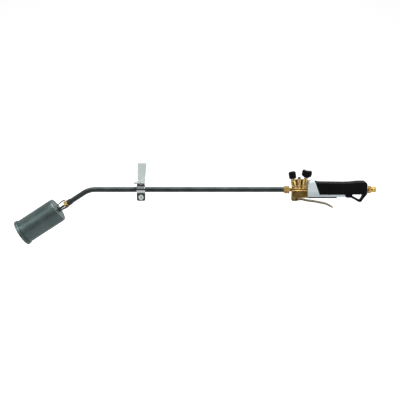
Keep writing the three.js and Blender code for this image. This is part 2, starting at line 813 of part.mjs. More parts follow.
// One half of the strap round the tube, in Y and Z, with a bolt ear below and a flange above.
function clampHalf(side) {
  const sign = side === "near" ? -1 : 1;
  const inner = TUBE_RADIUS + GAP;
  const outer = inner + CLAMP_SHEET;
  const split = 0.2;
  const back = split + CLAMP_SHEET;
  const shape = new THREE.Shape();
  shape.moveTo(split, CLAMP_BOTTOM);
  shape.absarc(0, 0, inner, -Math.acos(split / inner), Math.acos(split / inner), false);
  shape.lineTo(split, CLAMP_TOP);
  shape.lineTo(CLAMP_FLANGE, CLAMP_TOP);
  shape.lineTo(CLAMP_FLANGE, CLAMP_TOP - CLAMP_SHEET);
  shape.lineTo(back, CLAMP_TOP - CLAMP_SHEET);
  shape.absarc(0, 0, outer, Math.acos(back / outer), -Math.acos(back / outer), true);
  shape.lineTo(back, CLAMP_BOTTOM);
  const half = CLAMP_WIDTH / 2;
  const neck = half - 0.9;
  const front = outline([
    [-half, CLAMP_BOTTOM, 4],
    [half, CLAMP_BOTTOM, 4],
    [half, 8.6],
    [neck, 10],
    [neck, CLAMP_TOP + 1],
    [-neck, CLAMP_TOP + 1],
    [-neck, 10],
    [-half, 8.6],
  ]);
  const strap = common(
    crossBar(shape, [-half, half], 10).scale(1, sign, 1),
    sidePlate(front, [-20, 20]),
  );
  const boltHole = alongY(rod(BOLT_RADIUS + GAP, [-12, 12], 20)).translate(0, 0, BOLT_Z);
  const rivetHole = rod(1.5, [10, 20], 12).translate(0, RIVETS[side], 0);
  return part("clamp_" + side, cut(strap, boltHole, rivetHole), "brightSteel");
}

function standLeg() {
  const ledge = CLAMP_TOP + GAP;
  const sheet = CLAMP_SHEET;
  const bent = outline([
    [-14, ledge],
    [LEG_FRONT + sheet, ledge, 1],
    [LEG_FRONT + sheet, FOOT_TOP - sheet],
    [LEG_FRONT + FOOT_DEPTH, FOOT_TOP - sheet],
    [LEG_FRONT + FOOT_DEPTH, FOOT_TOP],
    [LEG_FRONT, FOOT_TOP, 1.5],
    [LEG_FRONT, ledge + sheet],
    [-14, ledge + sheet],
  ]);
  const front = outline([
    [-15.6, 10],
    [9, 10],
    [9, 18],
    [13.4, FOOT_TOP + 1],
    [-7.6, FOOT_TOP + 1],
    [-8.6, 18],
    [-15.6, 18],
  ]);
  const footOutline = new THREE.Shape();
  footOutline.absarc(0, 0, 30, 0, 2 * Math.PI);
  const plate = common(crossBar(bent, [-20, 20]), sidePlate(front, [-40, 60]));
  const roundSettings = { depth: 80, bevelEnabled: false, curveSegments: 16 };
  const rounding = new THREE.ExtrudeGeometry(footOutline, roundSettings);
  const holes = Object.values(RIVETS).map((place) => rod(1.5, [10, 20], 12).translate(0, place, 0));
  return part("stand_leg", cut(common(plate, rounding.translate(0, 8, 0)), ...holes), "zinc");
}

function rivet(side) {
  const below = CLAMP_TOP - CLAMP_SHEET - GAP;
  const above = CLAMP_TOP + GAP + CLAMP_SHEET + GAP;
  const body = join(
    rod(1.2, [below - 0.5, above + 0.5], 12),
    rod(2.1, [below - 1.1, below], 16),
    rod(2.3, [above, above + 1.1], 16),
  );
  return part("stand_rivet_" + side, body.translate(0, RIVETS[side], 0), "brightSteel");
}

function stand() {
  const group = new THREE.Group();
  group.position.x = STAND_X;
  const ear = 0.2 + CLAMP_SHEET;
  const head = rod(6, [-ear - GAP - 3, -ear - GAP], 28);
  const socket = hexBar(4.6, [-ear - GAP - 4, -ear - GAP - 1.2]);
  const bolt = cut(join(head, rod(BOLT_RADIUS, [-ear - 1, ear + 7.5], 20)), socket);
  const hole = rod(BOLT_RADIUS + GAP, [0, 20], 20);
  const washer = cut(rod(5.6, [ear + GAP, ear + GAP + 1], 24), hole);
  const nut = cut(hexBar(8.6, [ear + 2 * GAP + 1, ear + 2 * GAP + 5]), hole);
  const atBolt = (geometry) => alongY(geometry).translate(0, 0, BOLT_Z);
  group.add(
    clampHalf("near"),
    clampHalf("far"),
    standLeg(),
    rivet("near"),
    rivet("far"),
    part("stand_bolt", atBolt(bolt), "zinc"),
    part("stand_washer", atBolt(washer), "zinc"),
    part("stand_nut", atBolt(nut), "zinc"),
  );
  return group;
}

const torch = new THREE.Group();
torch.add(
  burnerEnd(),
  neckTube(),
  neckNipple(),
  unionNut(),
  valveBody(),
  valveStack("pilot", PILOT, pilotKnob),
  valveStack("main", MAIN, mainKnob),
  leverValve(),
  lever(),
  leverPin(),
  pinClip(),
  handle(),
  stand(),
);

export default torch;
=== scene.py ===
"""Looks of a propane roofing torch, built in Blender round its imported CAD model. Everything is in metres."""

import json
import math

import bmesh
import bpy
from mathutils import Matrix, Vector

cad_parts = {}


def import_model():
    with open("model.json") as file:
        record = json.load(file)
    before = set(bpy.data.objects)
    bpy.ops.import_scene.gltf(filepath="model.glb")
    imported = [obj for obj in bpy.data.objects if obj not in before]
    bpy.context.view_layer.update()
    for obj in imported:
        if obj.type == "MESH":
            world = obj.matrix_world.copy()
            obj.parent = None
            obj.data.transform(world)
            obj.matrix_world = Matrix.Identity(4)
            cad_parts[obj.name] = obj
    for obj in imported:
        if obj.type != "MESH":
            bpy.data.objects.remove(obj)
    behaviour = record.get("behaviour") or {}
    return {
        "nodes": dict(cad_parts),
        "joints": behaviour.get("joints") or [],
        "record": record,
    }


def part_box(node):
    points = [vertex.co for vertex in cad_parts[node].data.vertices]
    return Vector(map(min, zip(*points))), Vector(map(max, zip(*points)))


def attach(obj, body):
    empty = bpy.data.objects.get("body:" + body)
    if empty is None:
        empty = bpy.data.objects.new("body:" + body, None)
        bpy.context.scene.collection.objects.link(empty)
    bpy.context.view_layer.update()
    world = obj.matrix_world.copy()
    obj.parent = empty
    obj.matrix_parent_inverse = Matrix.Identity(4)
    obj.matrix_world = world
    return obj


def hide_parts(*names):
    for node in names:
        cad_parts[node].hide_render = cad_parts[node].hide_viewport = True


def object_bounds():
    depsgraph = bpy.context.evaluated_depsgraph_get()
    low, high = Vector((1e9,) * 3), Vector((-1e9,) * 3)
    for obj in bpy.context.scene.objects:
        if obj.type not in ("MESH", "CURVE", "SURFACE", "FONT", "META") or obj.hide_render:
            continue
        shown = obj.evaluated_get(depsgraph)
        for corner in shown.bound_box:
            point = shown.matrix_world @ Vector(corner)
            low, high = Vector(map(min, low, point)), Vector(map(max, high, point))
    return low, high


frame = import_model()
cad_low, cad_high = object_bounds()

MM = 0.001
# Keeps flat faces flat beside their rounded edges.
FLAT_FACES = ("WEIGHTED_NORMAL", {"weight": 100, "keep_sharp": True})
BODY_OF = {
    node: body
    for body, nodes in frame["record"]["behaviour"]["bodies"].items()
    for node in nodes
}
SLOT_OF = {row["node"]: row["material_slot"] for row in frame["record"]["subparts"]}
JOINTS = {joint["name"]: joint for joint in frame["joints"]}
MOUNTS = {mount["name"]: mount for mount in frame["record"]["mounts"]}


# ---- Places ----


def place_on(origin, direction, side):
    """A frame whose Z runs along direction and whose X is as near to side as it can be."""
    z = Vector(direction).normalized()
    x = (Vector(side) - Vector(side).dot(z) * z).normalized()
    place = Matrix((x, z.cross(x), z)).transposed().to_4x4()
    place.translation = Vector(origin)
    return place


def on_joint(name):
    """A frame on a joint's axis."""
    return place_on(JOINTS[name]["pos_m"], JOINTS[name]["axis"], (1, 0, 0))


def cad_points(node):
    return [vertex.co for vertex in frame["nodes"][node].data.vertices]


def burner_place():
    """The bell's axis, from the point where it meets the neck's own axis."""
    direction = Vector(MOUNTS["burner_mouth"]["axis"]).normalized()
    points = cad_points("burner_bell")
    centre = sum(points, Vector()) / len(points)
    corner = centre - direction * (centre.z / direction.z)
    return place_on((corner.x, 0, 0), direction, (0, 0, 1))


TUBE_RADIUS = 6 * MM
TUBE_BORE = 4.5 * MM
TUBE_CLEARANCE = 6.3 * MM  # the radius of a hole that the neck tube passes through
BEND_RADIUS = 50 * MM
STEM_HOLE = 2.3 * MM  # the radius of a gland nut's hole for its stem
STEM_SOCKET = 2.4 * MM  # the radius of a knob's socket for its stem

NECK = place_on((0, 0, 0), (1, 0, 0), (0, 0, 1))
BURNER = burner_place()
PILOT = on_joint("pilot_knob_turn")
MAIN = on_joint("main_knob_turn")
PIVOT = place_on(JOINTS["lever_pivot"]["pos_m"], (0, 1, 0), (1, 0, 0))


def upright(node):
    """A frame along +Z through the middle of a node."""
    low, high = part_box(node)
    return place_on(((low.x + high.x) / 2, (low.y + high.y) / 2, 0), (0, 0, 1), (1, 0, 0))


def across(node):
    """A frame along +Y through the middle of a node."""
    low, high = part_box(node)
    return place_on(((low.x + high.x) / 2, 0, (low.z + high.z) / 2), (0, 1, 0), (1, 0, 0))


def reach(node, place):
    """How far a node reaches along a frame's Z and out from it: from, to, outer radius, inner radius."""
    inverse = place.inverted()
    points = [inverse @ point for point in cad_points(node)]
    heights = [point.z for point in points]
    radii = [point.xy.length for point in points]
    return min(heights), max(heights), max(radii), min(radii)


# ---- Meshes ----


def new_piece(name, bm, sharp, place=None):
    """A shown piece from a finished bmesh, smooth except across sharp edges."""
    if place is not None:
        bmesh.ops.transform(bm, matrix=place, verts=bm.verts)
    bmesh.ops.recalc_face_normals(bm, faces=bm.faces)
    return modified(name, bm, [FLAT_FACES], sharp)


def modified(name, bm, modifiers, sharp):
    """A piece from a bmesh after a list of (type, settings) modifiers, smooth except across sharp edges."""
    rough = bpy.data.meshes.new(name + "_rough")
    bm.to_mesh(rough)
    bm.free()
    rough.shade_smooth()
    rough.set_sharp_from_angle(angle=math.radians(sharp))
    piece = bpy.data.objects.new(name, rough)
    bpy.context.scene.collection.objects.link(piece)
    for kind, settings in modifiers:
        modifier = piece.modifiers.new(kind, kind)
        for key, value in settings.items():
            setattr(modifier, key, value)
    graph = bpy.context.evaluated_depsgraph_get()
    piece.data = bpy.data.meshes.new_from_object(piece.evaluated_get(graph))
    piece.data.name = name
    piece.modifiers.clear()
    bpy.data.meshes.remove(rough)
    return piece


def eased(corners, closed=False, steps=4):
    """The points of an outline whose [x, y, rounding] corners are rounded."""
    points = []
    last = len(corners) - 1
    for index, (x, y, *rest) in enumerate(corners):
        corner = Vector((x, y))
        ends = index in (0, last) and not closed
        if ends or not rest or rest[0] <= 0:
            points.append(corner)
            continue
        before = Vector(corners[index - 1][:2]) - corner
        after = Vector(corners[(index + 1) % len(corners)][:2]) - corner
        size = min(rest[0], before.length * 0.49, after.length * 0.49)
        enter = corner + before.normalized() * size
        leave = corner + after.normalized() * size
        for step in range(steps + 1):
            share = step / steps
            points.append(enter.lerp(corner, share).lerp(corner.lerp(leave, share), share))
    return [tuple(point) for point in points]


def skirt(bm, lower, upper):
    """Faces between two rings, either of which may be a single point."""
    count = max(len(lower), len(upper))
    for index in range(count):
        following = (index + 1) % count
        corners = [lower[index % len(lower)], lower[following % len(lower)]]
        corners += [upper[following % len(upper)], upper[index % len(upper)]]
        face = list(dict.fromkeys(corners))
        if len(face) > 2:
            bm.faces.new(face)


def turned(name, place, profile, shape=None, segments=96, closed=False, sharp=35):
    """A piece turned about a frame's Z from (radius, height) points.

    shape(radius, height, angle) gives the real radius there, for hexagons, flutes and threads."""
    bm = bmesh.new()
    rings = []
    for radius, height in profile:
        if radius < 1e-7:
            rings.append([bm.verts.new((0, 0, height))])
            continue
        ring = []
        for index in range(segments):
            angle = 2 * math.pi * index / segments
            real = shape(radius, height, angle) if shape else radius
            ring.append(bm.verts.new((real * math.cos(angle), real * math.sin(angle), height)))
        rings.append(ring)
    pairs = list(zip(rings, rings[1:]))
    if closed:
        pairs.append((rings[-1], rings[0]))
    for lower, upper in pairs:
        skirt(bm, lower, upper)
    return new_piece(name, bm, sharp, place)


# The radius of a nut's chamfered end face, as a share of half its flats.
END_FACE = 0.97


def hexagon(flats, low=-1, high=1):
    """A shape for turned(): between two heights the radius stays inside a hexagon with two flats facing X."""

    def shape(radius, height, angle):
        if not low - 1e-7 <= height <= high + 1e-7:
            return radius
        within = (angle + math.pi / 6) % (math.pi / 3) - math.pi / 6
        return min(radius, flats / 2 / math.cos(within))

    return shape


def hex_profile(flats, low, high, bore):
    """The section of a chamfered nut."""
    corner = flats / math.sqrt(3)
    face = flats / 2 * END_FACE
    chamfer = (corner - face) * 0.55
    ease = 0.1 * MM
    points = [
        (bore + 0.5 * MM, low, ease),
        (face, low, ease),
        (corner, low + chamfer, ease),
        (corner, high - chamfer, ease),
        (face, high, ease),
        (bore + 0.5 * MM, high, ease),
        (bore, high - 0.5 * MM, ease),
        (bore, low + 0.5 * MM, ease),
    ]
    return eased(points, closed=True, steps=2)


def nut(name, node, place, flats, bore):
    """A hexagon nut as long as its CAD node."""
    low, high, _, _ = reach(node, place)
    profile = hex_profile(flats, low, high, bore)
    return turned(name, place, profile, hexagon(flats), closed=True, sharp=25)


def swept(name, points, radius, sides, bore=0.0):
    """A round bar or tube along points that lie in one plane."""
    bm = bmesh.new()
    points = [Vector(point) for point in points]
    ends = (points[1] - points[0], points[-1] - points[-2])
    normal = ends[0].cross(ends[1])
    if normal.length < 1e-12:
        normal = ends[0].orthogonal()
    normal.normalize()
    walls = []
    for size in [radius, bore] if bore else [radius]:
        rings = []
        for index, point in enumerate(points):
            following = points[min(index + 1, len(points) - 1)]
            before = points[max(index - 1, 0)]
            tangent = (following - before).normalized()
            out = tangent.cross(normal)
            ring = []
            for side in range(sides):
                angle = 2 * math.pi * side / sides
                offset = normal * math.cos(angle) + out * math.sin(angle)
                ring.append(bm.verts.new(point + offset * size))
            rings.append(ring)
        for lower, upper in zip(rings, rings[1:]):
            skirt(bm, lower, upper)
        walls.append(rings)
    if bore:
        skirt(bm, walls[0][0], walls[1][0])
        skirt(bm, walls[0][-1], walls[1][-1])
    else:
        bm.faces.new(walls[0][0])
        bm.faces.new(walls[0][-1])
    return new_piece(name, bm, sharp=50)


def welded_copy(node):
    """A bmesh of a CAD node with its vertices welded and its flat faces whole."""
    bm = bmesh.new()
    bm.from_mesh(frame["nodes"][node].data)
    bmesh.ops.remove_doubles(bm, verts=bm.verts, dist=2e-6)
    bmesh.ops.dissolve_limit(bm, angle_limit=math.radians(1), verts=bm.verts, edges=bm.edges)
    return bm


def bevelled(name, node, width, segments=3):
    """A CAD node with every hard edge broken, as pressed sheet and machined blocks have them."""
    bevel = {"width": width, "segments": segments, "limit_method": "ANGLE", "angle_limit": math.radians(28)}
    return modified(name, welded_copy(node), [("BEVEL", bevel), FLAT_FACES], 30)


def moulded(name, node, voxel, rounds):
    """A CAD node with its edges flowing round, as plastic mouldings and castings have them."""
    remesh = {"mode": "VOXEL", "voxel_size": voxel, "use_smooth_shade": True}
    smooth = {"factor": 0.5, "iterations": rounds}
    return modified(name, welded_copy(node), [("REMESH", remesh), ("SMOOTH", smooth)], 60)


# ---- Materials ----


class Finish:
    """A procedural material being built on one Principled shader."""

    def __init__(self, name, metallic, **constants):
        self.material = bpy.data.materials.new(name)
        self.material.use_nodes = True
        self.nodes = self.material.node_tree.nodes
        self.links = self.material.node_tree.links
        self.shader = self.nodes["Principled BSDF"]
        self.shader.inputs["Metallic"].default_value = metallic
        for key, value in constants.items():
            self.shader.inputs[key.replace("_", " ")].default_value = value
        self.coordinates = self.nodes.new("ShaderNodeTexCoord")

    def stretched(self, place, scale):
        """Coordinates in a frame, scaled along its X, Y and Z."""
        mapping = self.nodes.new("ShaderNodeMapping")
        mapping.vector_type = "TEXTURE"
        mapping.inputs["Rotation"].default_value = place.to_euler()
        mapping.inputs["Location"].default_value = place.translation
        mapping.inputs["Scale"].default_value = [1 / value for value in scale]
        self.links.new(self.coordinates.outputs["Object"], mapping.inputs["Vector"])
        return mapping.outputs["Vector"]

    def noise(self, scale, detail, roughness=0.55, vector=None):
        texture = self.nodes.new("ShaderNodeTexNoise")
        texture.inputs["Scale"].default_value = scale
        texture.inputs["Detail"].default_value = detail
        texture.inputs["Roughness"].default_value = roughness
        source = vector or self.coordinates.outputs["Object"]
        self.links.new(source, texture.inputs["Vector"])
        return texture.outputs["Fac"]

    def cells(self, scale):
        texture = self.nodes.new("ShaderNodeTexVoronoi")
        texture.inputs["Scale"].default_value = scale
        self.links.new(self.coordinates.outputs["Object"], texture.inputs["Vector"])
        return texture.outputs["Distance"]

    def edges(self, low, high):
        """0 to 1 between two levels of pointiness, so 1 along outward edges."""
        geometry = self.nodes.new("ShaderNodeNewGeometry")
        return self.ranged(geometry.outputs["Pointiness"], 0, 1, low, high)

    def height(self, low, high):
        """0 to 1 between two heights above the neck's axis."""
        split = self.nodes.new("ShaderNodeSeparateXYZ")
        self.links.new(self.coordinates.outputs["Object"], split.inputs[0])
        return self.ranged(split.outputs["Z"], 0, 1, low, high)

    def ranged(self, value, low, high, from_low=0.35, from_high=0.65):
        node = self.nodes.new("ShaderNodeMapRange")
        settings = {"From Min": from_low, "From Max": from_high, "To Min": low, "To Max": high}
        for key, number in settings.items():
            node.inputs[key].default_value = number
        self.links.new(value, node.inputs["Value"])
        return node.outputs["Result"]

    def ramp(self, value, stops):
        node = self.nodes.new("ShaderNodeValToRGB")
        elements = node.color_ramp.elements
        while len(elements) < len(stops):
            elements.new(0.5)
        for element, (position, colour) in zip(elements, stops):
            element.position = position
            element.color = (*colour, 1)
        self.links.new(value, node.inputs["Fac"])
        return node.outputs["Color"]

    def mixed(self, share, first, second):
        """first where share is 0 and second where it is 1; each is a colour or an output."""
        node = self.nodes.new("ShaderNodeMix")
        node.data_type = "RGBA"
        self.links.new(share, node.inputs["Factor"])
        for socket, value in ((node.inputs[6], first), (node.inputs[7], second)):
            if isinstance(value, (tuple, list)):
                socket.default_value = (*value, 1)
            else:
                self.links.new(value, socket)
        return node.outputs[2]

    def colour(self, output):
        self.links.new(output, self.shader.inputs["Base Color"])

    def roughness(self, output):
        self.links.new(output, self.shader.inputs["Roughness"])

    def bump(self, *layers):
        """Bump from (height output, depth in metres) layers."""
        normal = None
        for height, depth in layers:
            node = self.nodes.new("ShaderNodeBump")
            node.inputs["Distance"].default_value = depth
            node.inputs["Strength"].default_value = 1
            self.links.new(height, node.inputs["Height"])
            if normal:
                self.links.new(normal, node.inputs["Normal"])
            normal = node.outputs["Normal"]
        self.links.new(normal, self.shader.inputs["Normal"])


def burner_steel():
    """Spun steel under a satin grey-green heat-proof coating, with faint spinning rings and a painted
    highlight along its edges.
    """
    finish = Finish("burner_coating", 0.85)
    clouds = finish.noise(28, 4)
    tones = finish.ramp(clouds, [(0.3, (0.1, 0.142, 0.14)), (0.7, (0.155, 0.208, 0.2))])
    # Painted highlight: lighter grey along the outward edges, on the rounded rear shoulder and the rim.
    edge_highlight = finish.edges(0.52, 0.66)
    finish.colour(finish.mixed(edge_highlight, tones, (0.42, 0.47, 0.46)))
    rings = finish.noise(1, 2, vector=finish.stretched(BURNER, (20, 20, 900)))
    finish.roughness(finish.ranged(finish.noise(160, 3), 0.36, 0.5))
    finish.bump((rings, 0.00006), (finish.noise(1400, 2), 0.00002))
    return finish.material


def dark_steel():
    """Blued mild steel tube with faint drawing lines and a slight bloom."""
    finish = Finish("blued_steel", 0.9)
    bloom = finish.noise(35, 4)
    finish.colour(finish.ramp(bloom, [(0.3, (0.05, 0.062, 0.064)), (0.7, (0.085, 0.1, 0.1))]))
    lines = finish.noise(1, 2, vector=finish.stretched(NECK, (900, 900, 12)))
    finish.roughness(finish.ranged(finish.noise(220, 2), 0.4, 0.54))
    finish.bump((lines, 0.00002))
    return finish.material


def bright_steel():
    """Bright plated steel with faint polishing marks."""
    finish = Finish("plated_steel", 1)
    finish.colour(finish.ramp(finish.noise(120, 3), [(0.3, (0.8, 0.83, 0.84)), (0.7, (0.92, 0.94, 0.94))]))
    finish.roughness(finish.ranged(finish.noise(500, 3), 0.1, 0.22))
    finish.bump((finish.noise(900, 2), 0.000006))
    return finish.material


LEDGE_HEIGHTS = (13.5 * MM, 19.5 * MM)
# How much painted shadow darkens the stand's sheet, from just under its ledge (0) to just over it (1).
SHADOW_UNDER_LEDGE = [(0.0, (0, 0, 0)), (0.2, (0.85, 0.85, 0.85)), (0.62, (0.75, 0.75, 0.75)), (0.9, (0, 0, 0))]


def zinc():
    """Pale zinc-plated sheet with soft crystal patches, a painted highlight along its edges and a painted
    shadow under the ledge round the clamp.
    """
    finish = Finish("zinc_sheet", 0.2)
    patches = finish.cells(160)
    tones = finish.ramp(patches, [(0.1, (0.74, 0.85, 0.82)), (0.8, (0.84, 0.93, 0.9))])
    # Painted highlight: near-white along the outward edges, as on the ledge's top.
    bright = finish.mixed(finish.edges(0.55, 0.7), tones, (0.9, 0.95, 0.93))
    # Painted shadow: a dark band of the sheet under the ledge.
    ledge_shadow = finish.ramp(finish.height(*LEDGE_HEIGHTS), SHADOW_UNDER_LEDGE)
    finish.colour(finish.mixed(ledge_shadow, bright, (0.2, 0.25, 0.24)))
    finish.roughness(finish.ranged(finish.noise(90, 3), 0.34, 0.5))
    finish.bump((patches, 0.00001), (finish.noise(700, 2), 0.00001))
    return finish.material


def brass():
    """Forged brass: golden brown and slightly stained in the hollows, with a painted cream highlight along its
    edges.
    """
    finish = Finish("forged_brass", 0.72)
    stains = finish.noise(70, 3, 0.5)
    stops = [(0.3, (0.3, 0.17, 0.045)), (0.5, (0.5, 0.32, 0.1)), (0.72, (0.68, 0.47, 0.17))]
    tones = finish.ramp(stains, stops)
    # Painted highlight: cream along the outward edges, where the tier and bonnet bases catch the light.
    finish.colour(finish.mixed(finish.edges(0.5, 0.58), tones, (0.95, 0.74, 0.34)))
    finish.roughness(finish.ranged(finish.noise(120, 2), 0.12, 0.28))
    finish.bump((finish.noise(150, 2), 0.00002), (finish.noise(1500, 2), 0.000004))
    return finish.material


def bright_brass():
    """Machined yellow brass with fine tool rings."""
    finish = Finish("machined_brass", 1)
    finish.colour(finish.ramp(finish.noise(140, 3), [(0.3, (0.66, 0.45, 0.12)), (0.7, (0.88, 0.66, 0.24))]))
    rings = finish.noise(1, 2, vector=finish.stretched(NECK, (40, 40, 1500)))
    finish.roughness(finish.ranged(finish.noise(300, 2), 0.14, 0.26))
    finish.bump((rings, 0.00001))
    return finish.material


def bronze():
    """Brushed bronze-coloured sheet, rubbed brighter along its edges."""
    finish = Finish("bronze_sheet", 0.65)
    tones = finish.ramp(finish.noise(70, 4), [(0.3, (0.36, 0.3, 0.19)), (0.7, (0.54, 0.47, 0.33))])
    finish.colour(finish.mixed(finish.edges(0.51, 0.62), tones, (0.72, 0.66, 0.5)))
    lines = finish.noise(1, 2, vector=finish.stretched(NECK, (1200, 1200, 30)))
    finish.roughness(finish.ranged(finish.noise(240, 2), 0.24, 0.38))
    finish.bump((lines, 0.000015))
    return finish.material


def copper():
    """The orange-copper marker ring behind the grip."""
    finish = Finish("copper_ring", 0.6)
    finish.colour(finish.ramp(finish.noise(150, 3), [(0.3, (0.62, 0.22, 0.05)), (0.7, (0.83, 0.36, 0.1))]))
    finish.roughness(finish.ranged(finish.noise(400, 2), 0.28, 0.42))
    finish.bump((finish.noise(900, 2), 0.00001))
    return finish.material


def black_plastic():
    """Black moulded plastic with a fine leathery grain."""
    finish = Finish("black_moulding", 0, Specular_IOR_Level=0.09)
    stops = [(0.3, (0.003, 0.003, 0.0035)), (0.7, (0.006, 0.006, 0.007))]
    finish.colour(finish.ramp(finish.noise(50, 4), stops))
    grain = finish.cells(1300)
    finish.roughness(finish.ranged(finish.noise(120, 3), 0.55, 0.7))
    finish.bump((grain, 0.00005), (finish.noise(2500, 2), 0.00001))
    return finish.material


def pale_plastic():
    """Smooth, very pale blue-grey moulded plastic with a faint flow pattern."""
    finish = Finish("pale_moulding", 0, Coat_Weight=0.25, Coat_Roughness=0.2)
    flow = finish.noise(1, 4, vector=finish.stretched(NECK, (60, 60, 25)))
    finish.colour(finish.ramp(flow, [(0.3, (0.66, 0.76, 0.81)), (0.7, (0.8, 0.88, 0.91))]))
    finish.roughness(finish.ranged(finish.noise(200, 3), 0.3, 0.44))
    finish.bump((finish.noise(900, 2), 0.000015))
    return finish.material


def rubber():
    """Black seal rubber."""
    finish = Finish("seal_rubber", 0)
    finish.colour(finish.ramp(finish.noise(300, 3), [(0.3, (0.01, 0.01, 0.01)), (0.7, (0.03, 0.03, 0.03))]))
    finish.roughness(finish.ranged(finish.noise(500, 2), 0.6, 0.8))
    finish.bump((finish.noise(1500, 2), 0.00002))
    return finish.material


MATERIALS = {
    "burner_steel": burner_steel(),
    "dark_steel": dark_steel(),
    "bright_steel": bright_steel(),
    "zinc": zinc(),
    "brass": brass(),
    "bright_brass": bright_brass(),
    "bronze": bronze(),
    "copper": copper(),
    "black_plastic": black_plastic(),
    "pale_plastic": pale_plastic(),
    "rubber": rubber(),
}


def stands_for(piece, node):
    """The piece replaces a CAD node: same body, same material slot."""
    slot = SLOT_OF[node]
    piece.data.materials.clear()
    piece.data.materials.append(MATERIALS[slot])
    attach(piece, BODY_OF[node])
    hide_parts(node)
    return piece


# ---- Burner ----

BELL_WALL = 1.6 * MM
BELL_SHOULDER = 6 * MM
LEG_WIRE = 1.3 * MM


def bell():
    back, front, radius, hole = reach("burner_bell", BURNER)
    inner = radius - BELL_WALL
    profile = eased(
        [
            (hole, back + BELL_WALL, 0.4 * MM),
            (hole, back, 0.4 * MM),
            (radius - BELL_SHOULDER - 1.5 * MM, back + 0.7 * MM, 0.8 * MM),
            (radius - BELL_SHOULDER + 0.5 * MM, back, 0.8 * MM),
            (radius - 0.8 * MM, back + 0.8 * MM, 3 * MM),
            (radius, back + 7 * MM, 3 * MM),
            (radius, front, 0.4 * MM),
            (inner, front, 0.4 * MM),
            (inner, back + BELL_SHOULDER, 4 * MM),
            (inner - 4 * MM, back + BELL_WALL + 0.5 * MM, 3 * MM),
        ],
        closed=True,
        steps=6,
    )
    return turned("bell", BURNER, profile, segments=128, closed=True)


def rim():
    """The rolled rim: a narrow groove behind it, a shallow waist round it and a rounded lip."""
    back, front, radius, inner = reach("burner_rim", BURNER)
    groove = inner + 0.7 * MM
    profile = eased(
        [
            (inner, back, 0.3 * MM),
            (groove, back, 0.3 * MM),
            (groove, back + 1.6 * MM, 0.3 * MM),
            (radius - 0.9 * MM, back + 1.9 * MM, 0.5 * MM),
            (radius, back + 3 * MM, 1 * MM),
            (radius, back + 5 * MM, 0.9 * MM),
            (radius - 0.8 * MM, back + 5.9 * MM, 0.8 * MM),
            (radius, back + 6.8 * MM, 0.9 * MM),
            (radius, front, 1.6 * MM),
            (inner + 0.6 * MM, front, 1.2 * MM),
            (inner, front - 2 * MM, 0.8 * MM),
        ],
        closed=True,
        steps=5,
    )
    return turned("bell_rim", BURNER, profile, segments=128, closed=True)


def ring_piece(name, node, place, ease, groove=0.0, segments=96):
    """A sleeve as long and as thick as its CAD node, with rounded ends and an optional groove round it."""
    low, high, outer, inner = reach(node, place)
    middle = (low + high) / 2
    corners = [(inner, low, ease), (outer, low, ease)]
    if groove:
        half = (high - low) * 0.16
        corners += [(outer, middle - half, ease), (outer - groove, middle, ease)]
        corners += [(outer, middle + half, ease)]
    corners += [(outer, high, ease), (inner, high, ease)]
    return turned(name, place, eased(corners, closed=True), segments=segments, closed=True)


def gas_jet():
    low, high, outer, inner = reach("gas_jet", BURNER)
    corners = [
        (inner, low, 0.2 * MM),
        (outer, low, 0.3 * MM),
        (outer, low + 1.1 * MM, 0.1 * MM),
        (outer - 0.4 * MM, low + 1.5 * MM, 0.1 * MM),
        (outer - 0.4 * MM, low + 1.9 * MM, 0.1 * MM),
        (outer, low + 2.3 * MM, 0.1 * MM),
        (outer, high - 4 * MM, 0.5 * MM),
        (outer - 1.1 * MM, high, 0.3 * MM),
        (inner, high, 0.2 * MM),
    ]
    return turned("gas_jet_brass", BURNER, eased(corners, closed=True, steps=3), segments=64, closed=True)


def cage_leg(node):
    """A bent wire leg between the burner nut and the bell, along its CAD node."""
    inverse = BURNER.inverted()
    points = [inverse @ point for point in cad_points(node)]
    middle = sum(points, Vector()) / len(points)
    turn = math.atan2(middle.y, middle.x)
    low = min(point.z for point in points)
    high = max(point.z for point in points)
    radii = [point.xy.length for point in points if point.z < low + 3 * MM]
    start = (min(radii) + max(radii)) / 2
    bends = [
        (start, low + 0.5 * MM, 0),
        (start + 1.3 * MM, low + 5.4 * MM, 2.5 * MM),
        (start + 1.3 * MM, low + 9.4 * MM, 2.5 * MM),
        (start - 1 * MM, high - 0.4 * MM, 0),
    ]
    line = [
        BURNER @ Vector((radius * math.cos(turn), radius * math.sin(turn), height))
        for radius, height in eased(bends, steps=6)
    ]
    return swept(node + "_wire", line, LEG_WIRE, 20)


def burner_nut():
    """The nut at the end of the neck, open to the tube behind and drilled for gas in front."""
    low, high, corner, bore = reach("burner_nut", BURNER)
    flats = corner * math.sqrt(3)
    face = flats / 2 * END_FACE
    seat = high - 3.2 * MM
    corners = [
        (bore, high, 0.2 * MM),
        (face, high, 0.2 * MM),
        (corner, high - 0.7 * MM, 0.1 * MM),
        (corner, low + 0.7 * MM, 0.1 * MM),
        (face, low, 0.2 * MM),
        (TUBE_CLEARANCE, low, 0.2 * MM),
        (TUBE_CLEARANCE, seat, 0.2 * MM),
        (bore, seat, 0.2 * MM),
    ]
    profile = eased(corners, closed=True, steps=2)
    return turned("burner_hexagon", BURNER, profile, hexagon(flats), closed=True, sharp=25)


def build_burner():
    stands_for(bell(), "burner_bell")
    stands_for(rim(), "burner_rim")
    stands_for(bevelled("flame_plate", "flame_holder", 0.25 * MM), "flame_holder")
    stands_for(ring_piece("mixer", "mixing_tube", BURNER, 0.4 * MM), "mixing_tube")
    stands_for(ring_piece("jet_tube", "jet_pipe", BURNER, 0.3 * MM, segments=48), "jet_pipe")
    stands_for(gas_jet(), "gas_jet")
    for node in ("cage_leg_top", "cage_leg_near", "cage_leg_far"):
        stands_for(cage_leg(node), node)
    stands_for(burner_nut(), "burner_nut")
    stands_for(ring_piece("neck_ferrule", "front_ferrule", BURNER, 0.3 * MM, 0.25 * MM), "front_ferrule")


# ---- Neck ----


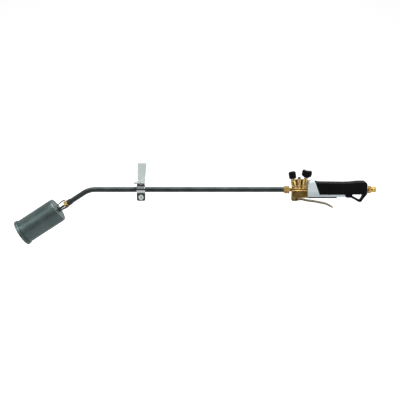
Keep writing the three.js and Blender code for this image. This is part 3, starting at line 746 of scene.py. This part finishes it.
def neck_line():
    """The centre line of the neck, straight, then round its bend, then straight to the burner nut."""
    _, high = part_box("neck_tube")
    corner = BURNER.translation
    along = BURNER.to_3x3() @ Vector((0, 0, 1))
    _, far, _, _ = reach("neck_tube", BURNER)
    bend = math.acos(-along.x)
    setback = BEND_RADIUS * math.tan(bend / 2)
    start = Vector((corner.x + setback, 0, 0))
    line = [Vector((high.x, 0, 0))]
    steps = 24
    for step in range(steps + 1):
        angle = bend * step / steps
        drop = BEND_RADIUS * (1 - math.cos(angle))
        line.append(Vector((start.x - BEND_RADIUS * math.sin(angle), 0, -drop)))
    line.append(corner + along * far)
    return line


def neck_nipple():
    low, high, collar, bore = reach("neck_nipple", NECK)
    step = high - 3.5 * MM
    corners = [
        (bore, low, 0.3 * MM),
        (TUBE_RADIUS, low, 0.4 * MM),
        (TUBE_RADIUS, step, 0.2 * MM),
        (collar, step, 0.3 * MM),
        (collar, high, 0.3 * MM),
        (bore, high, 0.3 * MM),
    ]
    return turned("neck_end", NECK, eased(corners, closed=True), closed=True)


def union_nut():
    """The nut that draws the neck on to the valve block, chamfered more on the burner's side."""
    low, high, corner, _ = reach("union_nut", NECK)
    flats = corner * math.sqrt(3)
    face = flats / 2 * END_FACE
    thread_hole = 7.4 * MM
    seat = low + 6.7 * MM
    corners = [
        (TUBE_CLEARANCE, low, 0.3 * MM),
        (face - 0.6 * MM, low, 0.4 * MM),
        (face, low + 0.8 * MM, 0.3 * MM),
        (corner, low + 1.8 * MM, 0.1 * MM),
        (corner, high - 1.2 * MM, 0.1 * MM),
        (face, high, 0.2 * MM),
        (thread_hole, high, 0.3 * MM),
        (thread_hole, seat, 0.2 * MM),
        (TUBE_CLEARANCE, seat, 0.2 * MM),
    ]
    profile = eased(corners, closed=True, steps=2)
    return turned("union_hexagon", NECK, profile, hexagon(flats), closed=True, sharp=25)


def build_neck():
    stands_for(swept("neck_pipe", neck_line(), TUBE_RADIUS, 64, TUBE_BORE), "neck_tube")
    stands_for(neck_nipple(), "neck_nipple")
    stands_for(union_nut(), "union_nut")


# ---- Valve block ----


def bonnet(name, node, place):
    """A turned bonnet on a hexagon foot: a waist, a smooth barrel and a stepped lip round the gland."""
    low, high, corner, bore = reach(node, place)
    flats = corner * math.sqrt(3)
    hexagon_top = low + 5.2 * MM
    barrel = flats / 2 - 0.2 * MM
    waist = flats / 2 - 1.1 * MM
    lip = flats / 2 - 1 * MM
    gland = 4.1 * MM
    corners = [
        (bore, low, 0.2 * MM),
        (flats / 2 * END_FACE, low, 0.2 * MM),
        (corner, low + 0.5 * MM, 0.2 * MM),
        (corner, hexagon_top - 0.6 * MM, 0.2 * MM),
        (flats / 2 * 0.96, hexagon_top, 0.3 * MM),
        (waist, hexagon_top + 0.3 * MM, 0.3 * MM),
        (waist, hexagon_top + 1.2 * MM, 0.3 * MM),
        (barrel, hexagon_top + 2 * MM, 0.4 * MM),
        (barrel, high - 2 * MM, 0.5 * MM),
        (lip, high - 1.4 * MM, 0.3 * MM),
        (lip, high, 0.4 * MM),
        (gland, high, 0.3 * MM),
        (gland, high - 2.2 * MM, 0.2 * MM),
        (bore, high - 2.2 * MM, 0.2 * MM),
    ]
    profile = eased(corners, closed=True, steps=3)
    shape = hexagon(flats, low, hexagon_top)
    return turned(name, place, profile, shape, closed=True, sharp=25)


FLUTE_DEPTH = 0.9 * MM
FLUTE_FADE = 1.6 * MM  # the length over which a flute fades out at either end


def fluted(flutes, body_radius, low, high):
    """A shape for turned(): finger flutes that fade out above and below."""

    def shape(radius, height, angle):
        if radius < body_radius * 0.6:
            return radius
        share = min(1, max(0, (height - low) / FLUTE_FADE), max(0, (high - height) / FLUTE_FADE))
        wave = 0.5 - 0.5 * math.cos(flutes * angle)
        return radius - FLUTE_DEPTH * share * wave**2

    return shape


def pilot_knob():
    low, high, radius, _ = reach("pilot_knob", PILOT)
    socket_end = low + 9 * MM
    corners = [
        (0, socket_end),
        (STEM_SOCKET, socket_end, 0.2 * MM),
        (STEM_SOCKET, low, 0.2 * MM),
        (radius - 1.6 * MM, low, 0.8 * MM),
        (radius, low + 1.4 * MM, 1 * MM),
        (radius, low + 6 * MM, 0),
        (radius, high - 3 * MM, 0),
        (radius - 0.2 * MM, high - 1.4 * MM, 0.8 * MM),
        (radius - 1.6 * MM, high, 1 * MM),
        (4.9 * MM, high, 0.4 * MM),
        (4.5 * MM, high - 1 * MM, 0.2 * MM),
        (0, high - 1 * MM),
    ]
    shape = fluted(8, radius, low, high)
    return turned("pilot_knob_moulding", PILOT, eased(corners), shape, segments=144)


def main_knob():
    low, high, radius, _ = reach("main_knob", MAIN)
    socket_end = low + 8.4 * MM
    rim_foot = low + 3 * MM
    corners = [
        (0, socket_end),
        (STEM_SOCKET, socket_end, 0.2 * MM),
        (STEM_SOCKET, low, 0.2 * MM),
        (5.6 * MM, low, 0.4 * MM),
        (8.6 * MM, rim_foot, 0.6 * MM),
        (radius - 1.8 * MM, rim_foot, 0.8 * MM),
        (radius, rim_foot + 2 * MM, 1.2 * MM),
        (radius, high - 6 * MM, 0),
        (radius, high - 2.6 * MM, 1.2 * MM),
        (radius - 2.2 * MM, high, 1.2 * MM),
        (7.7 * MM, high, 0.4 * MM),
        (7.3 * MM, high - 1.2 * MM, 0.2 * MM),
        (0, high - 1.2 * MM),
    ]
    shape = fluted(12, radius, rim_foot, high)
    return turned("main_knob_moulding", MAIN, eased(corners), shape, segments=144)


def disc(name, node, place, crown, ease=0.4 * MM):
    """A round cap or button with a crowned top, as large as its CAD node."""
    low, high, radius, _ = reach(node, place)
    corners = [
        (0, low),
        (radius, low, ease / 2),
        (radius, high - crown - 0.1 * MM, ease),
        (radius * 0.82, high - crown * 0.5, ease * 2),
        (radius * 0.4, high, ease * 2),
        (0, high),
    ]
    return turned(name, place, eased(corners))


def spring_housing():
    place = upright("spring_housing")
    low, high, outer, inner = reach("spring_housing", place)
    corners = [(inner, low, 0.2 * MM), (outer, low, 0.3 * MM)]
    for step in range(3):
        groove = high - (4.2 - 1.3 * step) * MM
        corners += [
            (outer, groove - 0.35 * MM, 0.15 * MM),
            (outer - 0.35 * MM, groove, 0.15 * MM),
            (outer, groove + 0.35 * MM, 0.15 * MM),
        ]
    corners += [(outer, high, 0.4 * MM), (inner, high, 0.2 * MM)]
    return turned("spring_barrel", place, eased(corners, closed=True, steps=3), segments=72, closed=True)


def build_valves():
    stands_for(moulded("valve_block", "valve_body", 0.42 * MM, 3), "valve_body")
    for prefix, place in (("pilot", PILOT), ("main", MAIN)):
        stands_for(bonnet(prefix + "_bonnet_turned", prefix + "_bonnet", place), prefix + "_bonnet")
        gland = prefix + "_gland_nut"
        stands_for(nut(prefix + "_gland_hexagon", gland, place, 9 * MM, STEM_HOLE), gland)
    stands_for(pilot_knob(), "pilot_knob")
    stands_for(main_knob(), "main_knob")
    stands_for(disc("pilot_button", "pilot_knob_cap", PILOT, 0.3 * MM, 0.3 * MM), "pilot_knob_cap")
    stands_for(disc("main_disc", "main_knob_cap", MAIN, 0.4 * MM), "main_knob_cap")
    stands_for(spring_housing(), "spring_housing")
    stands_for(disc("spring_button", "spring_cap", upright("spring_cap"), 0.5 * MM), "spring_cap")


# ---- Lever ----

LEVER_DEPTH = 4.2 * MM
LEVER_WALL = 1.5 * MM
TONGUE_HALF_WIDTH = 4.9 * MM
SHOULDER_LENGTH = 7 * MM  # along which the tongue widens into the blade
TIP_LENGTH = 9 * MM  # along which the blade rounds off
ROOT_TOP = -19.1 * MM  # the height at which the tongue is cut off under the valve block
# The top of the blade, [x, z] in millimetres, from the fork to the tip.
LEVER_LINE = [
    (-94.4, -20.6),
    (-87.2, -21.3),
    (-76.8, -23.6),
    (-60.4, -25.7),
    (-45.4, -28.6),
    (-34.1, -31),
    (-26.6, -34.2),
    (-19, -38.7),
    (-15.2, -41),
]


def catmull(points, steps):
    """A smooth line through a list of points."""
    points = [Vector(point) for point in points]
    ends = [2 * points[0] - points[1], *points, 2 * points[-1] - points[-2]]
    line = []
    for a, b, c, d in zip(ends, ends[1:], ends[2:], ends[3:]):
        for step in range(steps):
            t = step / steps
            square = (2 * a - 5 * b + 4 * c - d) * t**2
            cube = (3 * b - a - 3 * c + d) * t**3
            line.append(0.5 * (2 * b + (c - a) * t + square + cube))
    return [*line, points[-1]]


def smooth_step(share):
    """0 to 1 with an even start and stop."""
    share = min(1.0, max(0.0, share))
    return share * share * (3 - 2 * share)


def lever_section(half_width, depth, wall):
    """The lever's channel section, open below, as one closed outline."""
    corners = [
        (0, 0),
        (half_width, 0, 1.2 * MM),
        (half_width, -depth, 0.5 * MM),
        (half_width - wall, -depth, 0.5 * MM),
        (half_width - wall, -wall, 0.8 * MM),
        (0, -wall),
    ]
    right = eased(corners, steps=4)
    left = [(-y, z) for y, z in reversed(right[1:-1])]
    return [*right, *left]


def lever_blade():
    """The pressed channel of the squeeze lever, narrowing and closing to a rounded tip."""
    _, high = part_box("lever")
    width = high.y
    line = catmull([(x * MM, z * MM) for x, z in LEVER_LINE], 6)
    bm = bmesh.new()
    rings = []
    for index, point in enumerate(line):
        before = line[max(index - 1, 0)]
        after = line[min(index + 1, len(line) - 1)]
        tangent = (after - before).normalized()
        up = Vector((-tangent.y, tangent.x))
        from_tip = (high.x - point.x) / TIP_LENGTH
        tip = math.sqrt(max(0.0, 1 - (1 - min(1, from_tip)) ** 2))
        widened = smooth_step((point.x - line[0].x) / SHOULDER_LENGTH)
        shouldered = TONGUE_HALF_WIDTH + (width - TONGUE_HALF_WIDTH) * widened
        half = min(width * (0.55 + 0.45 * tip), shouldered)
        section = lever_section(half, LEVER_DEPTH * (0.5 + 0.5 * tip), LEVER_WALL)
        ring = []
        for y, z in section:
            ring.append(bm.verts.new((point.x + up.x * z, y, point.y + up.y * z)))
        rings.append(ring)
    for lower, upper in zip(rings, rings[1:]):
        skirt(bm, lower, upper)
    bm.faces.new(rings[0])
    bm.faces.new(rings[-1])
    return bm


def lever_root():
    """The tongue between the fork's cheeks, with the pivot hole through it and room above it to swing."""
    bm = welded_copy("lever")
    rear = Vector(((LEVER_LINE[0][0] + 0.2) * MM, 0, 0))
    top = Vector((0, 0, ROOT_TOP))
    for place, facing in ((rear, (1, 0, 0)), (top, (0, 0, 1))):
        geometry = [*bm.verts, *bm.edges, *bm.faces]
        bmesh.ops.bisect_plane(bm, geom=geometry, plane_co=place, plane_no=facing, clear_outer=True)
        bmesh.ops.holes_fill(bm, edges=[edge for edge in bm.edges if edge.is_boundary])
    return bm


def lever():
    blade = modified("lever_blade_rough", lever_blade(), [], 30)
    bevel = {"width": 0.35 * MM, "segments": 2, "limit_method": "ANGLE", "angle_limit": math.radians(30)}
    root = modified("lever_root_rough", lever_root(), [("BEVEL", bevel)], 30)
    bm = bmesh.new()
    for part in (blade, root):
        bm.from_mesh(part.data)
        bpy.data.objects.remove(part)
    return new_piece("squeeze_lever", bm, sharp=30)


def domed_pin(name, node, place, head_radius, head_height):
    """A pin with a domed head at its low end and an eased far end."""
    low, high, _, _ = reach(node, place)
    radius = 1.8 * MM
    corners = [
        (0, low),
        (head_radius * 0.7, low + head_height * 0.18, 0.4 * MM),
        (head_radius, low + head_height * 0.6, 0.3 * MM),
        (head_radius, low + head_height, 0.1 * MM),
        (radius, low + head_height, 0.1 * MM),
        (radius, high - 0.4 * MM, 0.1 * MM),
        (radius - 0.4 * MM, high, 0.1 * MM),
        (0, high),
    ]
    return turned(name, place, eased(corners), segments=48)


def build_lever():
    stands_for(lever(), "lever")
    stands_for(domed_pin("pivot_rivet", "lever_pivot_pin", PIVOT, 2.8 * MM, 1.5 * MM), "lever_pivot_pin")
    stands_for(bevelled("pivot_clip", "pin_clip", 0.15 * MM, 2), "pin_clip")


# ---- Handle ----


def hose_connector():
    """The hexagon collar and threaded spigot that the hose screws on to."""
    low, high, _, bore = reach("hose_connector", NECK)
    collar = (64.9 * MM, 71.4 * MM)
    flats = 17 * MM
    corner = flats / math.sqrt(3)
    tail = 4.6 * MM
    radius = 6.6 * MM
    pitch = 1.34 * MM
    root = 0.5 * MM
    thread = (collar[1] + 1.4 * MM, high - 1 * MM)
    corners = [
        (bore, low, 0.2 * MM),
        (tail, low, 0.2 * MM),
        (tail, collar[0], 0.2 * MM),
        (flats / 2 * END_FACE, collar[0], 0.1 * MM),
        (corner, collar[0] + 0.7 * MM, 0.1 * MM),
        (corner, collar[1] - 0.7 * MM, 0.1 * MM),
        (flats / 2 * END_FACE, collar[1], 0.1 * MM),
        (radius - root, collar[1], 0.3 * MM),
        (radius - root, thread[0], 0.1 * MM),
    ]
    rings = 54
    for step in range(1, rings):
        corners.append((radius, thread[0] + (thread[1] - thread[0]) * step / rings))
    corners += [
        (radius - root, thread[1], 0.1 * MM),
        (radius - root - 0.3 * MM, high, 0.3 * MM),
        (bore + 0.5 * MM, high, 0.2 * MM),
        (bore, high - 0.5 * MM, 0.2 * MM),
    ]
    hexed = hexagon(flats, collar[0], collar[1])

    def shape(distance, height, angle):
        if thread[0] < height < thread[1] and distance > radius - 1e-6:
            phase = (height / pitch - angle / (2 * math.pi)) % 1
            return radius - root * abs(2 * phase - 1)
        return hexed(distance, height, angle)

    return turned("hose_spigot", NECK, eased(corners, closed=True, steps=3), shape, closed=True)


def build_handle():
    for side in ("near", "far"):
        stands_for(moulded("grip_shell_" + side, "grip_" + side, 0.6 * MM, 5), "grip_" + side)
        stands_for(moulded("housing_shell_" + side, "housing_" + side, 0.6 * MM, 3), "housing_" + side)
    stands_for(bevelled("stop_strip", "lever_stop_strip", 0.4 * MM), "lever_stop_strip")
    for node in ("grip_screw_1", "grip_screw_2", "grip_screw_3", "housing_screw"):
        stands_for(bevelled(node + "_socket", node, 0.2 * MM), node)
    stands_for(ring_piece("marker_ring", "inlet_ring", NECK, 0.9 * MM), "inlet_ring")
    stands_for(hose_connector(), "hose_connector")


# ---- Stand ----


def stand_screw():
    """The clamp bolt: a shallow domed head with a hexagon socket, on the side of the stand that shows."""
    place = across("stand_bolt")
    low, high, radius, _ = reach("stand_bolt", place)
    shank = 2.5 * MM
    key = 5.6 * MM
    key_corner = key / math.sqrt(3)
    head = low + 3 * MM
    socket_end = low + 1.8 * MM
    corners = [
        (0, socket_end),
        (key_corner, socket_end, 0.1 * MM),
        (key_corner, low + 0.2 * MM, 0.1 * MM),
        (key_corner + 0.5 * MM, low, 0.3 * MM),
        (radius * 0.8, low + 0.5 * MM, 0.6 * MM),
        (radius, low + 1.6 * MM, 0.5 * MM),
        (radius, head, 0.2 * MM),
        (shank, head, 0.1 * MM),
        (shank, high - 0.5 * MM, 0.1 * MM),
        (shank - 0.5 * MM, high, 0.1 * MM),
        (0, high),
    ]
    hexed = hexagon(key, low + 0.15 * MM, low + 1.9 * MM)

    def shape(distance, height, angle):
        return hexed(distance, height, angle) if distance < key_corner + 1e-6 else distance

    return turned("clamp_bolt", place, eased(corners), shape, sharp=25)


def stand_rivet(node):
    place = upright(node)
    low, high, head, _ = reach(node, place)
    shank = 1.2 * MM
    lower_head = 2.1 * MM
    thickness = 1.1 * MM
    corners = [
        (0, low),
        (lower_head, low + 0.1 * MM, 0.4 * MM),
        (lower_head, low + thickness, 0.1 * MM),
        (shank, low + thickness, 0.1 * MM),
        (shank, high - thickness, 0.1 * MM),
        (head, high - thickness, 0.1 * MM),
        (head * 0.9, high - 0.4 * MM, 0.4 * MM),
        (head * 0.4, high, 0.4 * MM),
        (0, high),
    ]
    return turned(node + "_domed", place, eased(corners), segments=48)


def build_stand():
    for side in ("near", "far"):
        stands_for(bevelled("clamp_strap_" + side, "clamp_" + side, 0.45 * MM), "clamp_" + side)
        node = "stand_rivet_" + side
        stands_for(stand_rivet(node), node)
    stands_for(bevelled("leg_sheet", "stand_leg", 0.5 * MM), "stand_leg")
    stands_for(stand_screw(), "stand_bolt")
    stands_for(ring_piece("clamp_washer", "stand_washer", across("stand_washer"), 0.2 * MM), "stand_washer")
    stands_for(nut("clamp_nut", "stand_nut", across("stand_nut"), 8.6 * MM, 2.8 * MM), "stand_nut")


# ---- Hidden pieces ----


def dress_hidden_nodes():
    """The small pieces inside the valves and the handle keep their CAD shape and get their materials."""
    for node, piece in frame["nodes"].items():
        if not piece.hide_render:
            piece.data.materials.clear()
            piece.data.materials.append(MATERIALS[SLOT_OF[node]])


# ---- Stage ----

CAMERA_TARGET = Vector((-0.329, 0, -0.025))
CAMERA_ELEVATION = math.radians(10)
CAMERA_DISTANCE = 2.2
FRAME_WIDTH = 0.94
SENSOR = 36
FLOOR_DROP = 0.12
BACKDROP = [(-40, 0), (3, 0, 1.5), (3, 5)]  # [y, z, rounding] of the floor and the wall behind it
BACKDROP_HALF_WIDTH = 30
ROOM_STRENGTH = 0.8
# The world's brightness from straight down (0) to straight up (1), and from in front (0) to behind (1).
ROOM_BY_HEIGHT = [(0.0, 0.75), (0.28, 0.8), (0.36, 0.06), (0.82, 0.05), (0.93, 0.8), (1.0, 1.0)]
ROOM_BY_DEPTH = [(0.0, 0.0), (0.55, 0.0), (0.72, 0.7), (1.0, 1.2)]


def camera():
    data = bpy.data.cameras.new("camera")
    data.sensor_width = SENSOR
    data.lens = SENSOR * CAMERA_DISTANCE / FRAME_WIDTH
    data.clip_end = 50
    piece = bpy.data.objects.new("camera", data)
    away = Vector((0, -math.cos(CAMERA_ELEVATION), math.sin(CAMERA_ELEVATION)))
    piece.location = CAMERA_TARGET + away * CAMERA_DISTANCE
    piece.rotation_euler = (-away).to_track_quat("-Z", "Y").to_euler()
    bpy.context.scene.collection.objects.link(piece)
    bpy.context.scene.camera = piece


def backdrop():
    """A pale floor that curves up into a wall behind the torch."""
    height = cad_low.z - FLOOR_DROP
    section = eased(BACKDROP, steps=24)
    bm = bmesh.new()
    rows = []
    for x in (-BACKDROP_HALF_WIDTH, BACKDROP_HALF_WIDTH):
        rows.append([bm.verts.new((x + cad_low.x / 2, y, height + z)) for y, z in section])
    for index in range(len(section) - 1):
        bm.faces.new([rows[0][index], rows[1][index], rows[1][index + 1], rows[0][index + 1]])
    piece = new_piece("studio_floor", bm, sharp=60)
    finish = Finish("studio_paper", 0, Roughness=0.9, Emission_Color=(1, 1, 1, 1), Emission_Strength=0.62)
    finish.colour(finish.ramp(finish.noise(3, 2), [(0.3, (0.90, 0.90, 0.90)), (0.7, (0.92, 0.92, 0.92))]))
    piece.data.materials.append(finish.material)
    piece.visible_glossy = False
    piece.visible_diffuse = False
    piece.visible_shadow = False


def area_light(name, location, target, size, power):
    data = bpy.data.lights.new(name, "AREA")
    data.shape = "RECTANGLE"
    data.size, data.size_y = size
    data.energy = power
    piece = bpy.data.objects.new(name, data)
    piece.location = location
    piece.rotation_euler = (Vector(target) - Vector(location)).to_track_quat("-Z", "Y").to_euler()
    bpy.context.scene.collection.objects.link(piece)


def grey_ramp(nodes, stops):
    ramp = nodes.new("ShaderNodeValToRGB")
    elements = ramp.color_ramp.elements
    while len(elements) < len(stops):
        elements.new(0.5)
    for element, (position, value) in zip(elements, stops):
        element.position = position
        element.color = (value, value, value, 1)
    return ramp


def world():
    """A studio seen by the metal: bright above and behind, a white floor, and a dark room in front."""
    sky = bpy.data.worlds.new("studio")
    bpy.context.scene.world = sky
    sky.use_nodes = True
    nodes, links = sky.node_tree.nodes, sky.node_tree.links
    coordinates = nodes.new("ShaderNodeTexCoord")
    split = nodes.new("ShaderNodeSeparateXYZ")
    links.new(coordinates.outputs["Generated"], split.inputs[0])
    shades = []
    for axis, stops in (("Z", ROOM_BY_HEIGHT), ("Y", ROOM_BY_DEPTH)):
        lift = nodes.new("ShaderNodeMapRange")
        lift.inputs["From Min"].default_value = -1
        ramp = grey_ramp(nodes, stops)
        links.new(split.outputs[axis], lift.inputs["Value"])
        links.new(lift.outputs["Result"], ramp.inputs["Fac"])
        shades.append(ramp.outputs["Color"])
    lightest = nodes.new("ShaderNodeMix")
    lightest.data_type = "RGBA"
    lightest.blend_type = "LIGHTEN"
    lightest.inputs["Factor"].default_value = 1
    links.new(shades[0], lightest.inputs[6])
    links.new(shades[1], lightest.inputs[7])
    links.new(lightest.outputs[2], nodes["Background"].inputs["Color"])
    nodes["Background"].inputs["Strength"].default_value = ROOM_STRENGTH


def lights():
    middle = (CAMERA_TARGET.x, 0, 0)
    above = (CAMERA_TARGET.x, -0.35, 1.5)
    left = (CAMERA_TARGET.x - 1.5, -0.9, 0.15)
    right = (0.9, -0.75, 0.15)
    area_light("top_softbox", above, middle, size=(2.6, 0.9), power=34)
    area_light("left_strip", left, middle, size=(0.25, 1.4), power=7)
    area_light("right_strip", right, (-0.1, 0, 0), size=(0.22, 1.2), power=6)


bpy.context.scene.view_settings.view_transform = "Standard"
build_burner()
build_neck()
build_valves()
build_lever()
build_handle()
build_stand()
dress_hidden_nodes()
camera()
backdrop()
lights()
world()
